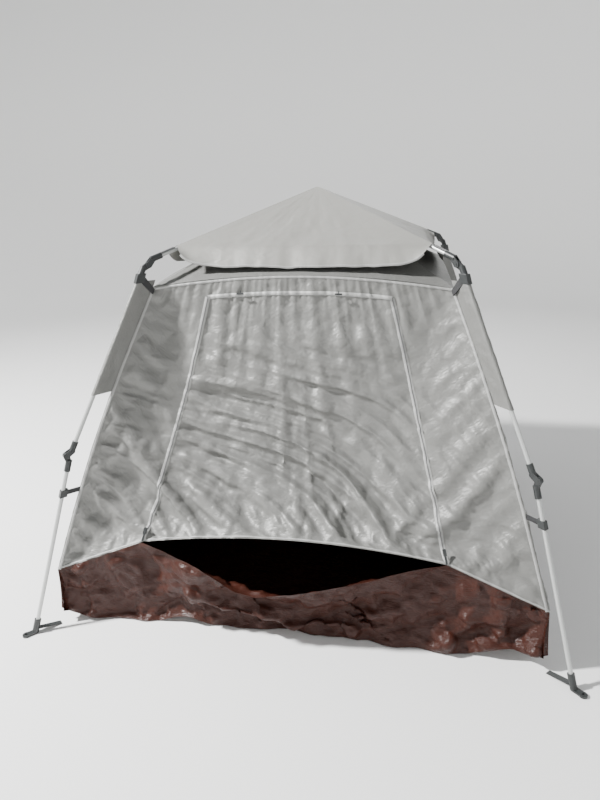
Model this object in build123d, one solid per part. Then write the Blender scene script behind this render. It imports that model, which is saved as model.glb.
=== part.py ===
"""Instant pop-up shelter: a hub, four folding corner legs and a sewn cabin hung inside them, in mm.

The frame is drawn once, in the upright diagonal plane of a corner (local X outward, local Z up),
and turned to each corner. The cloth is drawn once for the front and turned to each side.
"""
import os
from math import atan, cos, degrees, radians, sin, sqrt, tan

from build123d import *

os.makedirs("parts", exist_ok=True)

# Frame stance
HUB_PIVOT_S = 62.0  # hub pivots' distance from the centre
ROOF_SLOPE = 17.0  # roof pole below level, degrees
ELBOW_S = 848.5  # top of the upper leg's axis
ELBOW_Z = 1445.0
UPPER_TILT = 28.6  # upper leg from upright, degrees
LOWER_TILT = 18.5  # lower leg from upright, degrees
UPPER_LENGTH = 818.0  # elbow pivot to knee pivot, along the leg

# Tubes and hinges
TUBE_R = 8.0
TUBE_WALL = 1.0
PIVOT_OFFSET = 15.0  # pivot to tube axis
TUBE_START = 19.0  # pivot to tube end, along the tube
SLEEVE_R = 12.0
SLEEVE_LENGTH = 45.0
SLEEVE_CAP = 2.0
BOSS_R = 12.0
NECK_R = 10.5
TONGUE_HALF = 5.0
CHEEK_IN = 5.3
CHEEK_OUT = 9.3
PIN_R = 3.0
PIN_RUNNING = 0.05
RIVET_R = 5.0
RIVET_IN = 9.4
RIVET_OUT = 10.8

# Hub
HUB_R = 36.0
HUB_ABOVE = 9.0  # top face above the pivots
HUB_BELOW = 14.0
HUB_CAP_R = 22.0
HUB_CAP_HEIGHT = 5.0
HUB_TONGUE_R = 6.4
HUB_TONGUE_END_R = 6.0
HUB_TUBE_START = 20.0
HUB_TONGUE_END = 34.0
HUB_CHEEK_R = 5.4
HUB_CHEEK_ROOT = 30.0
HUB_CHEEK_ROOT_R = 9.0

# Feet
BOOT_R = 13.0
BOOT_LENGTH = 62.0
BOOT_FLOOR = 8.0  # sole under the tube's end, along the leg
TOE_REACH = 34.0  # leg axis to stake hole, at the ground
TOE_R = 15.0
TOE_THICK = 8.0
STAKE_R = 5.0
TIE_HALF = 12.0
TIE_THICK = 1.5
TIE_RISE = 20.0

# Cloth
CLOTH = 1.3
CANOPY_REST = 0.1  # canopy over the poles
WALL_TOP_HALF = 585.0
WALL_TOP_Z = 1350.0
WALL_LEAN = 0.34  # outward run per unit of fall
SEAM_CORNER_Z = 250.0
SEAM_MID_HALF = 595.0
SEAM_MID_Z = 385.0
SEAM_CROWN_Z = 430.0
FLOOR_HALF = 975.0
CANOPY_HALF = 500.0
VALANCE_OUT = 48.0
VALANCE_DROP = 56.0
VALANCE_NOTCH = 30.0
VALANCE_INSET = 15.0  # clear of the pole at the canopy's corner
LINING_HALF = 24.0
SILL_SHOULDER_HALF = 330.0
SILL_SHOULDER_Z = 310.0
SILL_MID_Z = 275.0
DOOR_TOP_HALF = 360.0
DOOR_TOP_Z = 1310.0
ZIP_GAP = 1.0

# Fittings
STRAP_HALF = 11.0
STRAP_THICK = 1.5
FLAP_START = 70.0  # along the upper leg from the elbow
FLAP_END = 560.0
FLAP_WALL = 1.2
CLIP_HALF = 3.0
CLIP_HEIGHT = 16.0
LOW_STRAP_Z = 580.0
SLIDER_LENGTH = 26.0
SLIDER_WIDTH = 13.0
SLIDER_HEIGHT = 6.0
PULL_LENGTH = 34.0
PULL_WIDTH = 8.0
PULL_THICK = 2.0
TOGGLE_X = (-224.0, 160.0)
TOGGLE_Z = 1326.0
TOGGLE_R = 3.5
TOGGLE_LENGTH = 28.0
TOGGLE_CORD_R = 1.5
TOGGLE_CORD_LENGTH = 26.0

CORNERS = {"fl": 225.0, "fr": 315.0, "bl": 135.0, "br": 45.0}
SIDES = {"front": 0.0, "right": 90.0, "back": 180.0, "left": 270.0}


def ray(angle):
    """Unit vector at an angle above local X, in the corner plane."""
    return Vector(cos(radians(angle)), 0, sin(radians(angle)))


def bar_plane(origin, angle):
    """Workplane whose X runs along a bar, Y across it in the corner plane, Z along the hinge pins."""
    return Plane(origin, x_dir=ray(angle), z_dir=(0, -1, 0))


def rod(start, end, radius, offset=0.0):
    """Solid cylinder along a workplane's X."""
    return Pos(start, offset, 0) * (Rot(0, 90, 0) * Cylinder(radius, end - start, align=(
        Align.CENTER, Align.CENTER, Align.MIN)))


def tube(start, end, offset=0.0):
    return rod(start, end, TUBE_R, offset) - rod(start, end, TUBE_R - TUBE_WALL, offset)


def plate(radius, span, offset, end_radius, low, high):
    """Plate around the pivot and a point further along, between two heights on the pin axis."""
    ends = [*Circle(radius).edges(), *(Pos(span, offset) * Circle(end_radius)).edges()]
    return Pos(0, 0, low) * extrude(make_hull(ends), amount=high - low)


def sleeve(offset):
    """Socket over a tube's end, with a closed cap."""
    start = TUBE_START
    body = rod(start - SLEEVE_CAP, start + SLEEVE_LENGTH, SLEEVE_R, offset)
    return body - rod(start, start + SLEEVE_LENGTH, TUBE_R, offset)


def bored(solid, offset, pin_radius):
    """Cut a hinge part free of its tube and its pin."""
    reach = TUBE_START + SLEEVE_LENGTH
    return solid - rod(TUBE_START, reach, TUBE_R, offset) - Cylinder(pin_radius, 4 * SLEEVE_R)


def fork(offset):
    """Hinge half with two cheeks, in the plane of its own bar."""
    span = TUBE_START + NECK_R / 2
    cheek = plate(BOSS_R, span, offset, NECK_R, CHEEK_IN, CHEEK_OUT)
    both = cheek + mirror(cheek, about=Plane.XY)
    return bored(sleeve(offset) + both, offset, PIN_R + PIN_RUNNING)


def tongue(offset):
    """Hinge half that turns between the cheeks, with its rivet."""
    span = TUBE_START + NECK_R / 2
    middle = plate(BOSS_R, span, offset, NECK_R, -TONGUE_HALF, TONGUE_HALF)
    return bored(sleeve(offset) + middle, offset, PIN_R)


def rivet():
    head = Pos(0, 0, (RIVET_IN + RIVET_OUT) / 2) * Cylinder(RIVET_R, RIVET_OUT - RIVET_IN)
    return Cylinder(PIN_R, 2 * RIVET_OUT) + head + mirror(head, about=Plane.XY)


def profile(points, half):
    """Plate in the corner plane from (outward, height) points."""
    face = Face(Wire.make_polygon([Vector(s, 0, z) for s, z in points]))
    return extrude(face, amount=half, dir=(0, 1, 0)) + extrude(face, amount=half, dir=(0, -1, 0))


# Corner linkage, all in the corner plane
roof_angle = -ROOF_SLOPE
upper_angle = UPPER_TILT - 90
lower_angle = LOWER_TILT - 90
upper_axis = Vector(ELBOW_S, 0, ELBOW_Z)
elbow = upper_axis - ray(UPPER_TILT) * PIVOT_OFFSET
roof_slope_s = sin(radians(ROOF_SLOPE))
roof_length = (elbow.X + PIVOT_OFFSET * roof_slope_s - HUB_PIVOT_S) / cos(radians(ROOF_SLOPE))
hub_pivot = elbow - ray(roof_angle) * roof_length + ray(roof_angle + 90) * PIVOT_OFFSET
hub_z = hub_pivot.Z
knee = elbow + ray(UPPER_TILT) * 2 * PIVOT_OFFSET + ray(upper_angle) * UPPER_LENGTH
lower_axis = knee - ray(LOWER_TILT) * PIVOT_OFFSET
lower_length = lower_axis.Z / cos(radians(LOWER_TILT))
sole_s = lower_axis.X + lower_length * sin(radians(LOWER_TILT))

at_hub = bar_plane(hub_pivot, roof_angle)
at_elbow_in = bar_plane(elbow, roof_angle + 180)
at_elbow_out = bar_plane(elbow, upper_angle)
at_knee_in = bar_plane(knee, upper_angle + 180)
at_knee_out = bar_plane(knee, lower_angle)
along_lower = bar_plane(lower_axis, lower_angle)


def roof_pole():
    lug = plate(HUB_TONGUE_R, HUB_TONGUE_END, 0, HUB_TONGUE_END_R, -TONGUE_HALF, TONGUE_HALF)
    pole = tube(HUB_TUBE_START, roof_length - TUBE_START)
    return at_hub * (pole + lug - Cylinder(PIN_R + PIN_RUNNING, 4 * TUBE_R))


def canopy_strap():
    """Webbing on top of the roof pole, from the canopy's corner to the elbow."""
    start = (CANOPY_HALF * sqrt(2) - HUB_PIVOT_S) / cos(radians(ROOF_SLOPE)) + BOSS_R
    end = roof_length - TUBE_START - SLEEVE_LENGTH
    band = Box(end - start, STRAP_THICK, 2 * STRAP_HALF, align=(Align.MIN, Align.MIN, Align.CENTER))
    return at_hub * (Pos(start, TUBE_R, 0) * band)


def elbow_upper():
    return [at_elbow_in * fork(-PIVOT_OFFSET), canopy_strap()]


def elbow_lower():
    return [at_elbow_out * tongue(PIVOT_OFFSET), at_elbow_out * rivet()]


def upper_leg():
    return at_elbow_out * tube(TUBE_START, UPPER_LENGTH - TUBE_START, PIVOT_OFFSET)


def knee_upper():
    return at_knee_in * fork(PIVOT_OFFSET)


def knee_lower():
    return [at_knee_out * tongue(-PIVOT_OFFSET), at_knee_out * rivet()]


def lower_end():
    """Where the lower tube stops inside the boot, along the leg from the knee."""
    return lower_length - TUBE_R * tan(radians(LOWER_TILT)) - BOOT_FLOOR


def lower_leg():
    return along_lower * tube(TUBE_START, lower_end())


def foot():
    """Boot over the tube, a toe with an upright stake hole, and the floor's corner tie."""
    above = Pos(sole_s, 0, BOOT_LENGTH) * Box(4 * BOOT_LENGTH, 4 * BOOT_R, 2 * BOOT_LENGTH)
    boot = along_lower * rod(lower_length - BOOT_LENGTH, lower_length + BOOT_R, BOOT_R)
    hole_s = sole_s + TOE_REACH
    disc = Pos(hole_s, 0, TOE_THICK / 2) * Cylinder(TOE_R, TOE_THICK)
    web = Pos(sole_s + TOE_REACH / 2, 0, TOE_THICK / 2) * Box(TOE_REACH, 2 * BOOT_R, TOE_THICK)
    tie_s = FLOOR_HALF * sqrt(2)
    tie = profile([(tie_s, CLOTH), (sole_s, CLOTH + TIE_RISE), (sole_s, CLOTH + TIE_RISE + TIE_THICK),
                   (tie_s, CLOTH + TIE_THICK)], TIE_HALF)
    solid = (boot & above) + disc + web + tie
    solid -= Pos(hole_s, 0, TOE_THICK / 2) * Cylinder(STAKE_R, 2 * TOE_THICK)
    return solid - along_lower * rod(0, lower_end(), TUBE_R)


def seam_s(z):
    """Cabin corner's distance from the centre."""
    return sqrt(2) * (WALL_TOP_HALF + (WALL_TOP_Z - z) * WALL_LEAN)


def leg_s(z, origin, tilt):
    """Leg axis's distance from the centre at a height."""
    return origin.X + (origin.Z - z) * tan(radians(tilt))


def corner_flap():
    """Pole sleeve and flap, its top clip, and the strap under the knee."""
    top = ELBOW_Z - FLAP_START * cos(radians(UPPER_TILT))
    low = ELBOW_Z - FLAP_END * cos(radians(UPPER_TILT))
    flap = profile([(seam_s(WALL_TOP_Z), WALL_TOP_Z), (leg_s(top, upper_axis, UPPER_TILT), top),
                    (leg_s(low, upper_axis, UPPER_TILT), low), (seam_s(low), low)], FLAP_WALL / 2)
    clip_low = WALL_TOP_Z - CLIP_HEIGHT
    clip = profile([(seam_s(WALL_TOP_Z), WALL_TOP_Z), (leg_s(top, upper_axis, UPPER_TILT), top),
                    (leg_s(clip_low, upper_axis, UPPER_TILT), clip_low),
                    (seam_s(clip_low), clip_low)], CLIP_HALF)
    wrap = rod(FLAP_START, FLAP_END, TUBE_R + FLAP_WALL, PIVOT_OFFSET)
    cloth = flap + clip + at_elbow_out * wrap
    cloth -= at_elbow_out * rod(0, UPPER_LENGTH, TUBE_R, PIVOT_OFFSET)
    strap_top = LOW_STRAP_Z + STRAP_HALF
    strap_low = LOW_STRAP_Z - STRAP_HALF
    strap = profile([(seam_s(strap_top), strap_top), (leg_s(strap_top, lower_axis, LOWER_TILT), strap_top),
                     (leg_s(strap_low, lower_axis, LOWER_TILT), strap_low),
                     (seam_s(strap_low), strap_low)], STRAP_THICK / 2)
    ring_start = (lower_axis.Z - strap_top) / cos(radians(LOWER_TILT))
    ring = rod(ring_start, ring_start + 2 * STRAP_HALF, TUBE_R + STRAP_THICK)
    strap = strap + along_lower * ring - along_lower * rod(0, lower_length, TUBE_R)
    return [cloth, strap]


def hub_body():
    solid = Pos(0, 0, hub_z + (HUB_ABOVE - HUB_BELOW) / 2) * Cylinder(HUB_R, HUB_ABOVE + HUB_BELOW)
    cheek = plate(HUB_CHEEK_R, HUB_CHEEK_ROOT - HUB_PIVOT_S, 0, HUB_CHEEK_ROOT_R, CHEEK_IN, CHEEK_OUT)
    pair = cheek + mirror(cheek, about=Plane.XY) - Cylinder(PIN_R, 4 * SLEEVE_R)
    ears = bar_plane(hub_pivot, 0) * pair
    for angle in CORNERS.values():
        solid += Rot(0, 0, angle) * ears
    return solid


def hub_pins():
    pin = bar_plane(hub_pivot, 0) * rivet()
    return [Rot(0, 0, angle) * pin for angle in CORNERS.values()]


def hub_cap():
    cap = Cylinder(HUB_CAP_R, HUB_CAP_HEIGHT, align=(Align.CENTER, Align.CENTER, Align.MIN))
    cap = fillet(cap.edges().sort_by(Axis.Z)[-1], HUB_CAP_HEIGHT / 2)
    return Pos(0, 0, hub_z + HUB_ABOVE) * cap


# Cloth, drawn for the front side
wall_angle = degrees(atan(WALL_LEAN))
wall_bottom_half = WALL_TOP_HALF + (WALL_TOP_Z - SEAM_CORNER_Z) * WALL_LEAN
canopy_fall = sqrt(2) * tan(radians(ROOF_SLOPE))
pole_top = hub_z + TUBE_R / cos(radians(ROOF_SLOPE)) + HUB_PIVOT_S * tan(radians(ROOF_SLOPE))
canopy_top_z = pole_top + TUBE_R * (1 / cos(radians(ROOF_SLOPE)) - 1) + CANOPY_REST
lining_z = hub_z - HUB_BELOW - CLOTH
far = 2 * FLOOR_HALF
quarter = extrude(Face(Wire.make_polygon([Vector(0, 0, 0), Vector(-far, -far, 0), Vector(far, -far, 0)])),
                  amount=far, dir=(0, 0, 1))


def on_wall(x, z):
    """Point on the wall's outer face."""
    return Vector(x, -WALL_TOP_HALF - (WALL_TOP_Z - z) * WALL_LEAN, z)


def cloth(points, direction):
    return extrude(Face(Wire.make_polygon(points)), amount=CLOTH, dir=direction)


def ribbon(top, bottom):
    """Cloth between two matching chains of points, faceted, thickened inward."""
    solid = None
    for i in range(len(top) - 1):
        for corner in ([top[i], bottom[i], top[i + 1]], [bottom[i], bottom[i + 1], top[i + 1]]):
            piece = cloth(corner, (0, 1, 0))
            solid = piece if solid is None else solid + piece
    return solid & quarter


def roof():
    """Outer canopy with its short valance, and the lining under the poles."""
    eave_z = canopy_top_z - canopy_fall * CANOPY_HALF
    left = Vector(-CANOPY_HALF, -CANOPY_HALF, eave_z)
    right = Vector(CANOPY_HALF, -CANOPY_HALF, eave_z)
    canopy = cloth([Vector(0, 0, canopy_top_z), left, right], (0, 0, 1))
    drop = Vector(0, -VALANCE_OUT, -VALANCE_DROP)
    notch = Vector(VALANCE_NOTCH, 0, 0)
    inset = Vector(VALANCE_INSET, 0, 0)
    canopy += cloth([left + inset, left + drop + notch, right + drop - notch, right - inset], (0, 0, 1))
    lining = cloth([Vector(-LINING_HALF, -LINING_HALF, lining_z),
                    Vector(-WALL_TOP_HALF, -WALL_TOP_HALF, WALL_TOP_Z),
                    Vector(WALL_TOP_HALF, -WALL_TOP_HALF, WALL_TOP_Z),
                    Vector(LINING_HALF, -LINING_HALF, lining_z)], (0, 0, 1))
    return [canopy, lining]


def seam_points():
    """Wall to floor seam from left to right."""
    return [on_wall(-wall_bottom_half, SEAM_CORNER_Z), on_wall(-SEAM_MID_HALF, SEAM_MID_Z),
            on_wall(0, SEAM_CROWN_Z), on_wall(SEAM_MID_HALF, SEAM_MID_Z),
            on_wall(wall_bottom_half, SEAM_CORNER_Z)]


def plain_wall():
    top = [on_wall(WALL_TOP_HALF, WALL_TOP_Z), on_wall(-WALL_TOP_HALF, WALL_TOP_Z)]
    return cloth(seam_points() + top, (0, 1, 0)) & quarter


def door_wall():
    """Front wall round the doorway, which is open down to the sill."""
    seam = seam_points()
    points = [seam[0], seam[1], on_wall(-DOOR_TOP_HALF, DOOR_TOP_Z), on_wall(DOOR_TOP_HALF, DOOR_TOP_Z),
              seam[3], seam[4], on_wall(WALL_TOP_HALF, WALL_TOP_Z), on_wall(-WALL_TOP_HALF, WALL_TOP_Z)]
    return cloth(points, (0, 1, 0)) & quarter


def door_panel():
    top = DOOR_TOP_HALF - ZIP_GAP
    low = SEAM_MID_HALF - ZIP_GAP
    return cloth([on_wall(-low, SEAM_MID_Z), on_wall(0, SEAM_CROWN_Z), on_wall(low, SEAM_MID_Z),
                  on_wall(top, DOOR_TOP_Z), on_wall(-top, DOOR_TOP_Z)], (0, 1, 0))


def hem_points(seam):
    """Points on the floor's edge under each seam point."""
    return [Vector(p.X * FLOOR_HALF / wall_bottom_half, -FLOOR_HALF, CLOTH) for p in seam]


def plain_skirt():
    return ribbon(seam_points(), hem_points(seam_points()))


def door_skirt():
    """Front skirt, with the sill hanging below the doorway."""
    seam = seam_points()
    sill = [Vector(-SILL_SHOULDER_HALF, -FLOOR_HALF, SILL_SHOULDER_Z), Vector(0, -FLOOR_HALF, SILL_MID_Z),
            Vector(SILL_SHOULDER_HALF, -FLOOR_HALF, SILL_SHOULDER_Z)]
    top = seam[:2] + sill + seam[3:]
    return ribbon(top, hem_points(top))


def floor():
    return cloth([Vector(0, 0, 0), Vector(-FLOOR_HALF, -FLOOR_HALF, 0), Vector(FLOOR_HALF, -FLOOR_HALF, 0)],
                 (0, 0, 1))


def zip_slider(side):
    """Slider and pull at the foot of a zip, on the wall's outer face."""
    foot_point = on_wall(side * SEAM_MID_HALF, SEAM_MID_Z)
    run = on_wall(side * DOOR_TOP_HALF, DOOR_TOP_Z) - foot_point
    out = Vector(0, -1, WALL_LEAN).normalized()
    start = foot_point + run.normalized() * (SLIDER_LENGTH / 2 + PULL_LENGTH)
    low = (Align.CENTER, Align.CENTER, Align.MIN)
    body = Box(SLIDER_LENGTH, SLIDER_WIDTH, SLIDER_HEIGHT, align=low)
    body = fillet(body.edges().filter_by(Axis.Z), SLIDER_WIDTH / 4)
    pull_at = Pos(-(SLIDER_LENGTH + PULL_LENGTH) / 2 + SLIDER_WIDTH / 4, 0, SLIDER_HEIGHT - PULL_THICK)
    pull = pull_at * Box(PULL_LENGTH, PULL_WIDTH, PULL_THICK, align=low)
    return Plane(start, x_dir=run, z_dir=out) * (body + pull)


def door_toggles():
    """Two toggles on short cords above the door, which tie it up when it is rolled."""
    out = Vector(0, -1, WALL_LEAN).normalized()
    solids = []
    for x in TOGGLE_X:
        face = Plane(on_wall(x, TOGGLE_Z), x_dir=(1, 0, 0), z_dir=out)
        bar = Pos(-TOGGLE_LENGTH / 2, 0, TOGGLE_R) * rod(0, TOGGLE_LENGTH, TOGGLE_R)
        cord = Pos(0, 0, TOGGLE_CORD_R) * Rot(-90, 0, 0) * Cylinder(
            TOGGLE_CORD_R, TOGGLE_CORD_LENGTH / 2, align=(Align.CENTER, Align.CENTER, Align.MIN))
        solids.append(face * (bar + cord))
    return solids


CORNER_NODES = {"roof_pole": roof_pole, "elbow_upper": elbow_upper, "elbow_lower": elbow_lower,
                "upper_leg": upper_leg, "knee_upper": knee_upper, "knee_lower": knee_lower,
                "lower_leg": lower_leg, "foot": foot, "corner_flap": corner_flap}
HUB_NODES = {"hub_body": hub_body, "hub_cap": hub_cap, "hub_pins": hub_pins}


def save(name, shape, turn=0.0):
    """Write a node, turned about the vertical, as one shape or as several solids."""
    shapes = shape if isinstance(shape, list) else [shape]
    turned = [Rot(0, 0, turn) * s for s in shapes]
    node = turned[0] if len(turned) == 1 else Compound(children=turned)
    node.label = name
    export_step(node, f"parts/{name}.step")


for name, make in HUB_NODES.items():
    save(name, make())
for name, make in CORNER_NODES.items():
    made = make()
    for corner, turn in CORNERS.items():
        save(f"{name}_{corner}", made, turn)
for side, turn in SIDES.items():
    front = side == "front"
    save(f"roof_{side}", roof(), turn)
    save(f"wall_{side}", door_wall() if front else plain_wall(), turn)
    save(f"skirt_{side}", door_skirt() if front else plain_skirt(), turn)
    save(f"floor_{side}", floor(), turn)
save("door_panel", door_panel())
save("zip_slider_left", zip_slider(-1))
save("zip_slider_right", zip_slider(1))
save("door_toggles", door_toggles())
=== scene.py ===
"""Instant pop-up shelter: cloth, fittings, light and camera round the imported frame, in metres."""
from math import cos, pi, radians, sin, sqrt, tan

import bpy
import numpy as np
from mathutils import Matrix, Vector, noise


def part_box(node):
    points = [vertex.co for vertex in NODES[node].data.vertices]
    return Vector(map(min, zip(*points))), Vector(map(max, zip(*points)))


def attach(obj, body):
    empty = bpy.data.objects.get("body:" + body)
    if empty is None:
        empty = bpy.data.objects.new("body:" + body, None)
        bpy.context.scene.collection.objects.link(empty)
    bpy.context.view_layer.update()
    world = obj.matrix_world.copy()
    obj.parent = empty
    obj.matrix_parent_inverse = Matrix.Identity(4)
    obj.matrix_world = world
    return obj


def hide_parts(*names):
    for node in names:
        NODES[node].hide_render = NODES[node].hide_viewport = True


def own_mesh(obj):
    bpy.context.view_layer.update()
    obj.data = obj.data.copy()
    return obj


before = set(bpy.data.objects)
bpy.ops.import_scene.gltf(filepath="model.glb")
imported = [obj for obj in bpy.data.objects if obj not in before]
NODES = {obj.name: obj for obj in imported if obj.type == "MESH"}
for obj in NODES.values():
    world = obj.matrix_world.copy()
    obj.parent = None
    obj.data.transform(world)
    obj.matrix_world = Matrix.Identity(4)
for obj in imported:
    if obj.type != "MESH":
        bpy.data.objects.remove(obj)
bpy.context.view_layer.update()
SIDES = {"front": 0, "right": 90, "back": 180, "left": 270}
CORNERS = {"fl": 225, "fr": 315, "bl": 135, "br": 45}

# Cabin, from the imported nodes
WALL_LOW, WALL_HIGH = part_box("wall_front")
TOP_Z = WALL_HIGH.z
SEAM_Z = WALL_LOW.z
BOTTOM_HALF = WALL_HIGH.x
TOP_HALF = -WALL_HIGH.y + 0.0013
LEAN = (BOTTOM_HALF - TOP_HALF) / (TOP_Z - SEAM_Z)
DOOR_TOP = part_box("door_panel")[1].z
FLOOR_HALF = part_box("floor_front")[1].x
ROOF_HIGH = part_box("roof_front")[1]
ARCH_TOP = 0.045  # wall top's rise between the corners
CROWN_Z = 0.43
SHOULDER_Z = 0.385
SILL_Z = 0.335
BULGE = 0.022  # corner seam's bow towards the leg
DOOR_U = 0.62  # door edge's place across the wall grid
DOOR_HALF_TOP = 0.36
DOOR_HALF_LOW = 0.595
EAVE_HALF = 0.50
VALANCE = 0.05
VALANCE_DROP = 0.070
ROOF_SLOPE = radians(17)
HUB_PIVOT_S = 0.062
ELBOW_S, ELBOW_Z = 0.8485, 1.445
UPPER_TILT, LOWER_TILT = radians(28.6), radians(18.5)
LOWER_S, LOWER_Z = 1.2390, 0.7292
TUBE_R = 0.008
HOOK_Z = ELBOW_Z - 0.046  # cabin corner's hook on the upper leg
FLAP_TOP, FLAP_DROP = ELBOW_Z - 0.068, 0.42
STRAP_Z = 0.579  # lower strap's mid height
STRAP_HALF = 0.010
STRAP_HOOK_HALF = 0.015
SILL_Y = -0.955  # front skirt's slack top edge


def wobble(point, scale, seed, octaves=3):
    """Smooth noise from about -1 to 1."""
    offset = Vector((seed * 7.3, seed * 3.1, seed * 5.7))
    return noise.fractal(Vector(point) * scale + offset, 0.7, 2.1, octaves)


# Materials

def material(name, colour, roughness, metallic=0.0, specular=0.5):
    mat = bpy.data.materials.new(name)
    mat.use_nodes = True
    shader = mat.node_tree.nodes["Principled BSDF"]
    shader.inputs["Base Color"].default_value = (*colour, 1)
    shader.inputs["Roughness"].default_value = roughness
    shader.inputs["Metallic"].default_value = metallic
    shader.inputs["Specular IOR Level"].default_value = specular
    return mat


def add_bumps(mat, layers):
    """Chain of bump maps: (texture, scale, strength, distance) each, in object space."""
    tree = mat.node_tree
    shader = tree.nodes["Principled BSDF"]
    place = tree.nodes.new("ShaderNodeTexCoord")
    normal = None
    for kind, scale, strength, distance in layers:
        if kind == "crease":
            texture = tree.nodes.new("ShaderNodeTexVoronoi")
            texture.feature = "F1"
            texture.inputs["Scale"].default_value = scale
            warp = tree.nodes.new("ShaderNodeTexNoise")
            warp.inputs["Scale"].default_value = scale * 0.6
            warp.inputs["Detail"].default_value = 3
            mix = tree.nodes.new("ShaderNodeVectorMath")
            mix.operation = "MULTIPLY_ADD"
            tree.links.new(warp.outputs["Color"], mix.inputs[0])
            mix.inputs[1].default_value = (0.35, 0.35, 0.35)
            tree.links.new(place.outputs["Object"], mix.inputs[2])
            tree.links.new(mix.outputs[0], texture.inputs["Vector"])
            height = texture.outputs["Distance"]
        else:
            texture = tree.nodes.new("ShaderNodeTexNoise")
            if kind == "ridge":
                texture.noise_type = "RIDGED_MULTIFRACTAL"
            texture.inputs["Scale"].default_value = scale
            texture.inputs["Detail"].default_value = 4
            texture.inputs["Distortion"].default_value = 0.6
            tree.links.new(place.outputs["Object"], texture.inputs["Vector"])
            height = texture.outputs["Fac"]
        bump = tree.nodes.new("ShaderNodeBump")
        bump.inputs["Strength"].default_value = strength
        bump.inputs["Distance"].default_value = distance
        tree.links.new(height, bump.inputs["Height"])
        if normal is not None:
            tree.links.new(normal, bump.inputs["Normal"])
        normal = bump.outputs["Normal"]
    tree.links.new(normal, shader.inputs["Normal"])
    return mat


silver = add_bumps(material("silver cloth", (0.165, 0.165, 0.156), 0.50, 0.25),
                   [("ridge", 3.2, 0.70, 0.016), ("noise", 13, 0.20, 0.012), ("crease", 21, 0.20, 0.008),
                    ("noise", 70, 0.15, 0.002)])
canopy_cloth = add_bumps(material("canopy cloth", (0.235, 0.232, 0.215), 0.52, 0.15),
                         [("ridge", 2.2, 0.55, 0.014), ("noise", 7, 0.18, 0.016), ("crease", 14, 0.12, 0.008),
                          ("noise", 60, 0.12, 0.002)])
brown = add_bumps(material("floor cloth", (0.034, 0.0100, 0.0062), 0.34, specular=0.22),
                  [("ridge", 4.0, 0.60, 0.016), ("noise", 12, 0.30, 0.016), ("crease", 24, 0.30, 0.010),
                   ("noise", 80, 0.2, 0.002)])
zip_grey = add_bumps(material("zip", (0.12, 0.12, 0.12), 0.5), [("noise", 300, 0.3, 0.002)])
webbing = add_bumps(material("black webbing", (0.015, 0.015, 0.016), 0.65), [("noise", 400, 0.5, 0.001)])
tape = add_bumps(material("seam tape", (0.30, 0.30, 0.29), 0.55, 0.15), [("noise", 120, 0.5, 0.002)])
tube_metal = add_bumps(material("grey tube", (0.46, 0.47, 0.46), 0.38, 0.45), [("noise", 150, 0.06, 0.001)])
black = add_bumps(material("black plastic", (0.018, 0.020, 0.020), 0.42), [("noise", 220, 0.12, 0.001)])
steel = add_bumps(material("steel", (0.45, 0.45, 0.46), 0.35, 0.9), [("noise", 200, 0.08, 0.001)])
ground = add_bumps(material("floor", (0.80, 0.80, 0.79), 0.9), [("noise", 30, 0.05, 0.004)])


# Meshes

def finish_piece(obj, mat, body, squash=None, smooth=True):
    obj.data.materials.append(mat)
    if smooth:
        for face in obj.data.polygons:
            face.use_smooth = True
    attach(obj, body)
    if squash is not None:
        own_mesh(obj)
    return obj


def mesh_object(name, points, faces):
    mesh = bpy.data.meshes.new(name)
    mesh.from_pydata([tuple(p) for p in points], [], faces)
    mesh.update()
    obj = bpy.data.objects.new(name, mesh)
    bpy.context.scene.collection.objects.link(obj)
    return obj


def grid_object(name, grid, keep=None):
    """Mesh from a rows x columns x 3 array, with only the quads that keep(row, column) allows."""
    rows, cols = grid.shape[:2]
    faces = [(r * cols + c, (r + 1) * cols + c, (r + 1) * cols + c + 1, r * cols + c + 1)
             for r in range(rows - 1) for c in range(cols - 1) if keep is None or keep(r, c)]
    used = sorted({i for face in faces for i in face})
    index = {old: new for new, old in enumerate(used)}
    flat = grid.reshape(-1, 3)
    return mesh_object(name, flat[used], [tuple(index[i] for i in face) for face in faces])


def turned(grid, angle):
    a = radians(angle)
    turn = np.array([[cos(a), -sin(a), 0], [sin(a), cos(a), 0], [0, 0, 1]])
    return grid @ turn.T


def area_of(grid):
    a = np.linalg.norm(np.cross(grid[1:, :-1] - grid[:-1, :-1], grid[:-1, 1:] - grid[:-1, :-1]), axis=2)
    return float(a.sum())


def cut_area(high, low, steps=80):
    """Flat area of a panel cut to span two seams, before any drape, fold or crumple."""
    high, low = np.asarray(high), np.asarray(low)
    return area_of(high + (low - high) * np.linspace(0, 1, steps)[:, None, None])


def drape(grid, pinned, grow, frames=24):
    """Cloth simulation of a grid: pinned is a mask, grow how much wider the cut is than its frame."""
    rows, cols = grid.shape[:2]
    obj = grid_object("drape", grid)
    pins = obj.vertex_groups.new(name="pins")
    pins.add([int(i) for i in np.flatnonzero(pinned.reshape(-1))], 1.0, "REPLACE")
    cloth = obj.modifiers.new("cloth", "CLOTH")
    cloth.settings.vertex_group_mass = "pins"
    cloth.settings.shrink_min = -grow
    cloth.settings.quality = 6
    cloth.settings.mass = 0.15
    cloth.settings.tension_stiffness = 25
    cloth.settings.compression_stiffness = 25
    cloth.settings.shear_stiffness = 12
    cloth.settings.bending_stiffness = 0.6
    cloth.settings.tension_damping = 15
    cloth.settings.air_damping = 6
    cloth.point_cache.frame_end = frames
    scene = bpy.context.scene
    for step in range(1, frames + 1):
        scene.frame_set(step)
    result = obj.evaluated_get(bpy.context.evaluated_depsgraph_get()).data
    out = np.array([v.co for v in result.vertices]).reshape(rows, cols, 3)
    bpy.data.objects.remove(obj)
    scene.frame_set(1)
    return out


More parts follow.
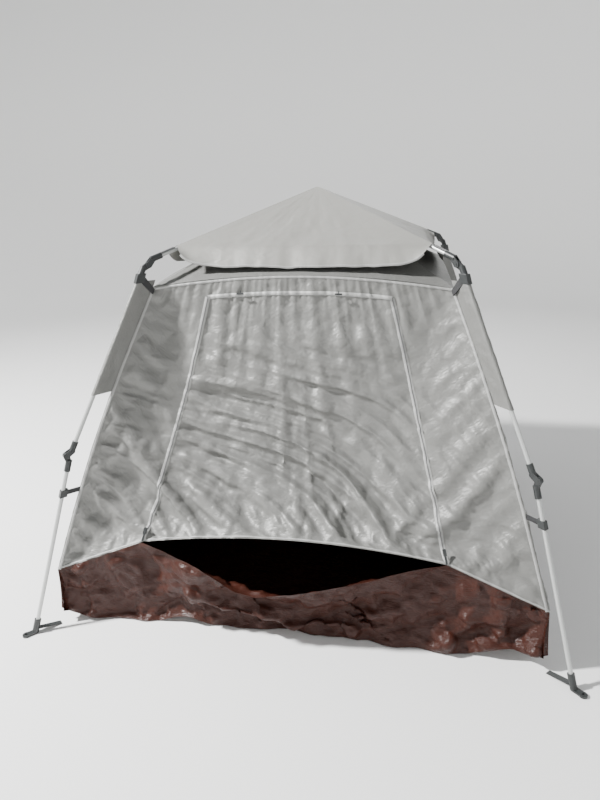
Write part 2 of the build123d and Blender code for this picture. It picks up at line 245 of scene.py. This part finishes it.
def ribbon(name, path, normals, width, lift, mat, body, squash=None):
    """Flat band along a path, standing a little off the cloth."""
    points = []
    path = [Vector(p) for p in path]
    for i, p in enumerate(path):
        along = (path[min(i + 1, len(path) - 1)] - path[max(i - 1, 0)]).normalized()
        out = Vector(normals[i]).normalized()
        side = along.cross(out).normalized() * (width / 2)
        points += [p - side + out * lift * 0.3, p - side * 0.8 + out * lift,
                   p + side * 0.8 + out * lift, p + side + out * lift * 0.3]
    faces = [(4 * i + k, 4 * i + k + 1, 4 * i + k + 5, 4 * i + k + 4)
             for i in range(len(path) - 1) for k in range(3)]
    return finish_piece(mesh_object(name, points, faces), mat, body, squash)


# Cabin surfaces, drawn for the front

COLS, ROWS, VALANCE_ROWS = 101, 78, 7


def seam_height(u):
    """Wall to floor seam: low at the corners, crowned in the middle."""
    a = abs(u)
    if a > DOOR_U:
        t = (1 - a) / (1 - DOOR_U)
        return SEAM_Z + (SHOULDER_Z - SEAM_Z) * t
    return SHOULDER_Z + (CROWN_Z - SHOULDER_Z) * (1 - (a / DOOR_U) ** 2)


def wall_half(z):
    t = (TOP_Z - z) / (TOP_Z - SEAM_Z)
    return TOP_HALF + (TOP_Z - z) * LEAN + BULGE * max(0.0, sin(pi * min(t, 1)))


def door_half(z):
    t = (DOOR_TOP - z) / (DOOR_TOP - SHOULDER_Z)
    return DOOR_HALF_TOP + (DOOR_HALF_LOW - DOOR_HALF_TOP) * t


def wall_grid(seed):
    """Wall between its corner seams, with diagonal folds that fade out at the seams."""
    grid = np.zeros((ROWS, COLS, 3))
    for r in range(ROWS):
        v = r / (ROWS - 1)
        for c in range(COLS):
            u = 2 * c / (COLS - 1) - 1
            a = abs(u)
            top = TOP_Z + ARCH_TOP * (1 - a ** 2)
            z = top + (seam_height(u) - top) * v
            edge = wall_half(z)
            door = min(door_half(z), edge - 0.02)
            x = door * a / DOOR_U if a < DOOR_U else door + (edge - door) * (a - DOOR_U) / (1 - DOOR_U)
            x *= 1 if u >= 0 else -1
            flat = TOP_HALF + (TOP_Z - z) * LEAN
            bow = (edge - flat) * a ** 6
            free = min(1, (1 - a) * 6) * min(1, v * 8) * min(1, (1 - v) * 8)
            across = Vector((x * 0.75 + z * 0.9, 0, z * 0.5 - x * 0.25))
            fold = 0.014 * wobble((across.x * 2.2, seed, across.z * 0.6), 2.0, seed)
            low = 0.010 * v ** 2 * wobble((x, seed, z), 7, seed + 3)
            grid[r, c] = (x, -(flat + bow) + free * (fold + low) + 0.012 * free, z)
    return grid


def border(shape, sides="tblr"):
    mask = np.zeros(shape[:2], bool)
    if "t" in sides:
        mask[0] = True
    if "b" in sides:
        mask[-1] = True
    if "l" in sides:
        mask[:, 0] = True
    if "r" in sides:
        mask[:, -1] = True
    return mask


def refine(grid):
    """Twice the grid's resolution, by straight interpolation."""
    for axis in (0, 1):
        grid = np.moveaxis(grid, axis, 0)
        fine = np.zeros((2 * grid.shape[0] - 1, *grid.shape[1:]))
        fine[::2] = grid
        fine[1::2] = (grid[1:] + grid[:-1]) / 2
        grid = np.moveaxis(fine, 0, axis)
    return grid


def folds(grid, amount, slant, pitch, seed, calm=0.35):
    """Long ridged folds that run down at a slant, calmer outside the door."""
    out = grid.copy()
    rows, cols = grid.shape[:2]
    normal = normals_of(grid)
    for r in range(1, rows - 1):
        for c in range(1, cols - 1):
            x, _, z = grid[r, c]
            turn = slant + 0.5 * noise.noise(Vector((x * 1.3, z * 1.3, seed)))
            along, across = x * cos(turn) + z * sin(turn), -x * sin(turn) + z * cos(turn)
            height = 0
            for k, weight in ((1, 1.0), (2.1, 0.45), (4.3, 0.18)):
                n = noise.noise(Vector((across * k / pitch, along * k * 0.17 / pitch, seed + k)))
                height += weight * (0.35 - abs(n) * 1.7)
            u = abs(2 * c / (cols - 1) - 1)
            zone = calm + (1 - calm) * max(0, min(1, (DOOR_U + 0.02 - u) * 9))
            gap = min(r, rows - 1 - r, c, cols - 1 - c)
            low = 0.75 + 0.5 * r / rows
            flat = max(0.12, min(1, (DOOR_TOP - 0.05 - z) / 0.13))  # smooth behind the toggles
            out[r, c] += normal[r, c] * amount * height * zone * low * flat * min(1, gap * 0.14)
    return out


def crumple(grid, amount, scale, seed):
    """Sharp random dents along the surface normal, none at the border."""
    out = grid.copy()
    rows, cols = grid.shape[:2]
    normal = normals_of(grid)
    for r in range(1, rows - 1):
        for c in range(1, cols - 1):
            p = Vector(grid[r, c])
            d = noise.voronoi(p * scale + Vector((seed, 0, 0)))[0]
            height = (d[1] - d[0]) * 0.9 - 0.25 + 0.4 * noise.noise(p * scale * 0.7)
            fade = min(1, 0.25 * min(r, c, rows - 1 - r, cols - 1 - c))
            out[r, c] = grid[r, c] + normal[r, c] * amount * fade * height
    return out


def settle(grid):
    """Press the wall flat behind the toggles above the door."""
    out = grid.copy()
    for r in range(grid.shape[0]):
        for c in range(grid.shape[1]):
            x, y, z = grid[r, c]
            plane = -(TOP_HALF + (TOP_Z - z) * LEAN) + 0.004
            weight = max(0, min(1, (z - DOOR_TOP + 0.07) / 0.05))
            weight *= max(0, min(1, (DOOR_HALF_TOP - 0.02 - abs(x)) / 0.08)) * min(1, r * 0.3)
            out[r, c, 1] += weight * max(0, plane - y)
    return out


def normals_of(grid):
    """Outward unit normals of a front-facing grid."""
    du = np.gradient(grid, axis=1)
    dv = np.gradient(grid, axis=0)
    n = np.cross(dv, du)
    n /= np.maximum(np.linalg.norm(n, axis=2, keepdims=True), 1e-9)
    flip = np.sign(n[:, :, 1].mean())
    return n * (-flip if flip else 1)


def skirt_grid(front, seed, rows=26):
    grid = np.zeros((rows, COLS, 3))
    for c in range(COLS):
        u = 2 * c / (COLS - 1) - 1
        a = abs(u)
        z_top = seam_height(u)
        y_top = -(TOP_HALF + (TOP_Z - z_top) * LEAN)
        x_top = wall_half(z_top) * (a - DOOR_U) / (1 - DOOR_U) + door_half(z_top) * (1 - a) / (
            1 - DOOR_U) if a > DOOR_U else door_half(z_top) * a / DOOR_U
        if front and a < DOOR_U:
            dip = sin(pi / 2 * (1 - a / DOOR_U)) ** 0.8
            z_top += (SILL_Z - z_top + 0.03 * wobble((u * 2, seed, 1), 2.4, seed)) * dip
            y_top += (SILL_Y - y_top) * min(1, dip * 1.2)
        x_top *= 1 if u >= 0 else -1
        lifted = 0.055 * a ** 10
        hem_in = 0.055 * (1 - a ** 2)
        ripple = 0.035 * wobble((x_top, seed, 0), 3.2, seed) * min(1, (1 - a) * 8)
        lifted += 0.05 * max(0, wobble((x_top, seed, 2), 2.6, seed)) * min(1, (1 - a) * 8)
        low = np.array([x_top * FLOOR_HALF / BOTTOM_HALF, -FLOOR_HALF + hem_in + 0.02 + ripple,
                        0.004 + lifted])
        high = np.array([x_top, y_top, z_top])
        for r in range(rows):
            v = r / (rows - 1)
            p = high + (low - high) * v
            belly = 0.02 * sin(pi * v)
            free = sin(pi * v) * min(1, (1 - a) * 8)
            p[1] += belly * 0.3 + free * 0.016 * wobble((p[0], seed, p[2]), 5, seed)
            grid[r, c] = p
    return grid


def canopy_grid(seed, rows=44):
    """Canopy from the hub to the eave, then its valance."""
    apex = ROOF_HIGH.z
    eave_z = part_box("roof_pole_fl")[1].z - (EAVE_HALF * sqrt(2) - HUB_PIVOT_S) * tan(ROOF_SLOPE) + 0.005
    slope = (apex - eave_z) / EAVE_HALF
    grid = np.zeros((rows, COLS, 3))
    main = rows - VALANCE_ROWS
    for r in range(rows):
        for c in range(COLS):
            u = 2 * c / (COLS - 1) - 1
            a = abs(u)
            if r <= main:
                t = r / main
                half = EAVE_HALF * max(t, 0.012)
                slack = t * (1 - a ** 2)
                sag = 0.010 * slack + 0.007 * slack * wobble((u * 1.5, seed, t), 2.5, seed)
                grid[r, c] = (half * u, -half, apex - slope * half - sag)
            else:
                t = (r - main) / (rows - 1 - main)
                edge = grid[main, c]
                tuck = 1 - 0.06 * t * a ** 8
                drop = VALANCE_DROP * t * (1 - 0.55 * a ** 8)
                flutter = 0.006 * t * wobble((edge[0], seed, 0), 8, seed)
                grid[r, c] = (edge[0] * tuck, edge[1] - VALANCE * t ** 0.8 + flutter, edge[2] - drop)
    return grid


def lining_grid(rows=20):
    """Inner roof from the hub's underside to the wall top."""
    hub_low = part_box("hub_body")[0].z
    grid = np.zeros((rows, COLS, 3))
    for r in range(rows):
        t = r / (rows - 1)
        for c in range(COLS):
            u = 2 * c / (COLS - 1) - 1
            start = np.array([0.024 * u, -0.024, hub_low - 0.002])
            end_z = TOP_Z + ARCH_TOP * (1 - u ** 2)
            end = np.array([TOP_HALF * u, -(TOP_HALF + (TOP_Z - end_z) * LEAN), end_z])
            grid[r, c] = start + (end - start) * t
            grid[r, c, 2] -= 0.02 * sin(pi * t) * (1 - u ** 2)
    return grid


SLANT = radians(-33)
flat_wall = wall_grid(1)
front_wall = refine(drape(flat_wall, border((ROWS, COLS)), 0.025))
front_wall = settle(crumple(folds(front_wall, 0.034, SLANT, 0.115, 2), 0.010, 13, 2))
plain_wall = refine(drape(wall_grid(5), border((ROWS, COLS)), 0.02))
plain_wall = crumple(folds(plain_wall, 0.036, SLANT, 0.13, 6, calm=0.6), 0.009, 13, 6)
front_base = skirt_grid(True, 3)
fixed = border(front_base.shape, "lrb")
fixed[0] = [abs(2 * c / (COLS - 1) - 1) > DOOR_U for c in range(COLS)]
front_skirt = crumple(crumple(refine(drape(front_base, fixed, 0.03, 12)), 0.050, 6, 4), 0.024, 14, 5)
plain_base = skirt_grid(False, 8)
plain_skirt = refine(drape(plain_base, border(plain_base.shape), 0.04))
plain_skirt = crumple(crumple(plain_skirt, 0.040, 6, 9), 0.020, 14, 10)

FINE_ROWS, FINE_COLS = front_wall.shape[:2]
left_col = int(round((1 - DOOR_U) / 2 * (FINE_COLS - 1)))
right_col = FINE_COLS - 1 - left_col
door_row = next(r for r in range(FINE_ROWS) if front_wall[r, FINE_COLS // 2, 2] < DOOR_TOP + 0.02)

for side, angle in SIDES.items():
    axis = (1, 0, 0) if side in ("front", "back") else (0, 1, 0)
    roof, wall, floor_body = f"roof_side_{side}", f"wall_side_{side}", f"floor_side_{side}"
    front = side == "front"

    canopy = turned(canopy_grid(angle / 90 + 11), angle)
    piece = finish_piece(grid_object(f"canopy_{side}", canopy), canopy_cloth, roof, axis)
    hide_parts(f"roof_{side}")
    lining = turned(lining_grid(), angle)
    piece = finish_piece(grid_object(f"lining_{side}", lining), silver, roof, axis)
    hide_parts(f"roof_{side}")
    edge = canopy[-1]
    out = [Vector((0, -1, 0))] * COLS
    out = [Matrix.Rotation(radians(angle), 3, "Z") @ n for n in out]
    ribbon(f"canopy_hem_{side}", edge, out, 0.010, 0.0015, tape, roof, axis)

    surface = turned(front_wall if front else plain_wall, angle)
    outward = turned(normals_of(front_wall if front else plain_wall), angle)
    in_door = lambda r, c: left_col <= c < right_col and r >= door_row
    keep = (lambda r, c: not in_door(r, c)) if front else None
    piece = finish_piece(grid_object(f"cabin_{side}", surface, keep), silver, wall, axis)
    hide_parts(f"wall_{side}")
    ribbon(f"top_seam_{side}", surface[1], outward[1], 0.009, 0.002, tape, wall, axis)
    for col, tag in ((1, "l"), (FINE_COLS - 2, "r")):
        ribbon(f"corner_tape_{side}_{tag}", surface[:, col], outward[:, col], 0.011, 0.003, tape, wall, axis)
    seam_parts = [(f"base_seam_{side}", slice(None), wall)]
    if front:
        seam_parts = [("base_seam_front_l", slice(None, left_col + 1), wall),
                      ("base_seam_door", slice(left_col, right_col + 1), "door"),
                      ("base_seam_front_r", slice(right_col, None), wall)]
    for tag, part, body in seam_parts:
        ribbon(tag, surface[-2, part], outward[-2, part], 0.007, 0.002, tape, body, axis)

    base = turned(front_skirt if front else plain_skirt, angle)
    piece = finish_piece(grid_object(f"base_{side}", base), brown, wall, axis)
    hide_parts(f"skirt_{side}")

    if front:
        door_side = surface[door_row:, left_col:right_col + 1]
        door = finish_piece(grid_object("door", door_side), silver, "door", axis)
        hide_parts("door_panel")
        for col, tag in ((left_col, "left"), (right_col, "right")):
            ribbon(f"zip_tape_{tag}", surface[door_row:-1, col], outward[door_row:-1, col], 0.020, 0.002,
                   tape, wall, axis)
            ribbon(f"zip_teeth_{tag}", surface[door_row:-1, col], outward[door_row:-1, col], 0.005, 0.0035,
                   zip_grey, wall, axis)
        ribbon("door_top_fold", surface[door_row, left_col:right_col + 1],
               outward[door_row, left_col:right_col + 1], 0.016, 0.004, tape, wall, axis)

    hem = base[-1]
    centre = np.array([0, 0, 0.003])
    rows = 14
    panel = np.zeros((rows, len(hem), 3))
    for r in range(rows):
        t = max(1 - r / (rows - 1), 0.01)
        panel[r] = centre + (hem - centre) * t
        panel[r, :, 2] = 0.003 + (hem[:, 2] - 0.003) * t ** 12
    piece = finish_piece(grid_object(f"groundsheet_{side}", panel), brown, floor_body, axis)
    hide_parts(f"floor_{side}")


# Corner cloth and webbing, drawn in the corner plane: (outward, sideways, height)

def leg_s(z):
    return ELBOW_S + (ELBOW_Z - z) * tan(UPPER_TILT)


def low_leg_s(z):
    return LOWER_S + (LOWER_Z - z) * tan(LOWER_TILT)


def slab(name, section, half, corner_angle, mat, body):
    """Thin plate in the corner plane, bevelled."""
    a = radians(corner_angle)
    out, side = Vector((cos(a), sin(a), 0)), Vector((-sin(a), cos(a), 0))
    n = len(section)
    points = [out * s + side * t + Vector((0, 0, z)) for t in (-half, half) for s, z in section]
    faces = [tuple(range(n)), tuple(range(2 * n - 1, n - 1, -1))]
    faces += [(i, i + n, (i + 1) % n + n, (i + 1) % n) for i in range(n)]
    obj = mesh_object(name, points, faces)
    bevel = obj.modifiers.new("bevel", "BEVEL")
    bevel.width = min(half, 0.002) * 0.6
    bevel.segments = 2
    return finish_piece(obj, mat, body, smooth=False)


def leg_flap(name, corner_angle, seed, body):
    """Cloth sleeve round the upper leg, sewn to the cabin's corner."""
    a = radians(corner_angle)
    out, side = np.array([cos(a), sin(a), 0]), np.array([-sin(a), cos(a), 0])
    rows = 46
    arc = 14
    grid = np.zeros((rows, arc + 12, 3))
    for r in range(rows):
        v = r / (rows - 1)
        z = FLAP_TOP - v * FLAP_DROP
        s_leg = leg_s(z)
        s_seam = wall_half(z) * sqrt(2) - 0.002
        radius = TUBE_R + 0.0025 + 0.002 * wobble((v * 4, seed, 0), 2, seed)
        for k in range(6):
            t = k / 6
            lean = 0.004 * sin(pi * t) * wobble((v * 3, seed, t), 3, seed)
            for col, sign in ((k, 1), (arc + 11 - k, -1)):
                p = out * (s_seam + (s_leg - s_seam) * t) + side * (sign * radius * t + lean)
                grid[r, col] = p + np.array([0, 0, z])
        for k in range(arc):
            turn = pi / 2 - pi * k / (arc - 1)
            p = out * (s_leg + radius * cos(turn)) + side * radius * sin(turn)
            grid[r, 6 + k] = p + np.array([0, 0, z])
    piece = finish_piece(grid_object(name, grid), silver, body)
    ends = [FLAP_TOP, FLAP_TOP - FLAP_DROP]
    seam = [out * (wall_half(z) * sqrt(2) - 0.002) + np.array([0, 0, z]) for z in ends]
    leg = [out * leg_s(z) + np.array([0, 0, z]) for z in ends]
    sleeve = pi * (TUBE_R + 0.0025) * FLAP_DROP / cos(UPPER_TILT)
    return piece, 2 * cut_area(seam, leg) + sleeve


for corner, angle in CORNERS.items():
    body = f"upper_{corner}"
    flap, area = leg_flap(f"leg_flap_{corner}", angle, angle / 45, body)
    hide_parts(f"corner_flap_{corner}")
    top_s = wall_half(TOP_Z) * sqrt(2)
    clip_high, clip_low = leg_s(HOOK_Z) - 0.012, leg_s(HOOK_Z - 0.02) - 0.004
    clip = slab(f"top_clip_{corner}", [(top_s - 0.004, TOP_Z - 0.008), (clip_high, HOOK_Z),
                                       (clip_low, HOOK_Z - 0.022), (top_s + 0.006, TOP_Z - 0.028)],
                0.011, angle, webbing, body)
    hook_high, hook_low = leg_s(HOOK_Z), leg_s(HOOK_Z - 0.025)
    hook_top, hook_foot = HOOK_Z + 0.008, HOOK_Z - 0.028
    hook = slab(f"top_hook_{corner}", [(hook_high - 0.022, hook_top), (hook_high + 0.013, hook_top),
                                       (hook_low + 0.013, hook_foot), (hook_low - 0.022, hook_foot)],
                0.012, angle, black, body)
    low_s = wall_half(0.58) * sqrt(2) - 0.004
    high, low = STRAP_Z + STRAP_HALF, STRAP_Z - STRAP_HALF
    strap = slab(f"knee_strap_{corner}", [(low_s, high), (low_leg_s(high) - 0.010, high),
                                          (low_leg_s(low) - 0.010, low), (low_s, low)],
                 0.0015, angle, webbing, body)
    high, low = STRAP_Z + STRAP_HOOK_HALF, STRAP_Z - STRAP_HOOK_HALF
    loop = slab(f"strap_hook_{corner}", [(low_leg_s(high) - 0.018, high), (low_leg_s(high) + 0.011, high),
                                         (low_leg_s(low) + 0.011, low), (low_leg_s(low) - 0.018, low)],
                0.011, angle, black, body)
    for piece in (clip, hook, strap, loop):
        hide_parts(f"corner_flap_{corner}")

# Hard nodes keep the CAD's meshes
HARD = {"roof_pole": tube_metal, "upper_leg": tube_metal, "lower_leg": tube_metal, "hub_pins": steel}
SOFT = ("roof_front", "roof_back", "roof_left", "roof_right", "wall_", "skirt_", "floor_", "door_panel",
        "corner_flap")
for name, obj in NODES.items():
    if name.startswith(SOFT):
        continue
    mat = next((m for key, m in HARD.items() if name.startswith(key)), black)
    obj.data.materials.clear()
    obj.data.materials.append(mat)

for name in ("zip_slider_left", "zip_slider_right", "door_toggles"):
    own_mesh(NODES[name])

# Stage, light and camera
STAGE_FLAT, STAGE_CURVE, STAGE_TOP, STAGE_SIDES, STAGE_STEPS = 7.0, 3.0, 9.0, 64, 12
profile = [(STAGE_FLAT * k / 4, -0.001) for k in range(1, 5)]
profile += [(STAGE_FLAT + STAGE_CURVE * sin(k * pi / 2 / STAGE_STEPS),
             STAGE_CURVE * (1 - cos(k * pi / 2 / STAGE_STEPS))) for k in range(1, STAGE_STEPS + 1)]
profile.append((STAGE_FLAT + STAGE_CURVE, STAGE_TOP))
points = [(0, 0, -0.001)] + [(r * cos(2 * pi * k / STAGE_SIDES), r * sin(2 * pi * k / STAGE_SIDES), z)
                             for r, z in profile for k in range(STAGE_SIDES)]
faces = [(0, 1 + k, 1 + (k + 1) % STAGE_SIDES) for k in range(STAGE_SIDES)]
for ring in range(len(profile) - 1):
    start = 1 + ring * STAGE_SIDES
    for k in range(STAGE_SIDES):
        after = (k + 1) % STAGE_SIDES
        faces.append((start + k, start + STAGE_SIDES + k, start + STAGE_SIDES + after, start + after))
stage_mesh = mesh_object("ground", points, faces)
for face in stage_mesh.data.polygons:
    face.use_smooth = True
stage_mesh.data.materials.append(ground)


def area_light(name, place, size, power, target=(0, 0, 0.7)):
    data = bpy.data.lights.new(name, "AREA")
    data.size = size
    data.energy = power
    lamp = bpy.data.objects.new(name, data)
    bpy.context.scene.collection.objects.link(lamp)
    lamp.location = place
    lamp.rotation_euler = (Vector(target) - Vector(place)).to_track_quat("-Z", "Y").to_euler()
    return lamp


area_light("key", (-4.4, -2.0, 4.8), 0.40, 1500)
area_light("fill", (2.5, -4.8, 3.0), 3.0, 40)
area_light("rim", (0.5, 4.5, 4.5), 2.5, 90)
world = bpy.data.worlds.new("world")
world.use_nodes = True
world.node_tree.nodes["Background"].inputs["Color"].default_value = (0.80, 0.83, 0.88, 1)
world.node_tree.nodes["Background"].inputs["Strength"].default_value = 0.36
bpy.context.scene.world = world

CAMERA = Vector((0.400, -2.863, 1.693))
YAW, PITCH, ROLL = radians(9.93), radians(-19.05), radians(-1.28)
right = Vector((cos(YAW), sin(YAW), 0))
ahead = Vector((-sin(YAW) * cos(PITCH), cos(YAW) * cos(PITCH), sin(PITCH)))
up = right.cross(ahead)
rolled_right = right * cos(ROLL) + up * sin(ROLL)
rolled_up = up * cos(ROLL) - right * sin(ROLL)
data = bpy.data.cameras.new("camera")
data.lens = 27.0
camera = bpy.data.objects.new("camera", data)
bpy.context.scene.collection.objects.link(camera)
axes = Matrix((rolled_right, rolled_up, -ahead)).transposed()
camera.matrix_world = Matrix.Translation(CAMERA) @ axes.to_4x4()
bpy.context.scene.camera = camera
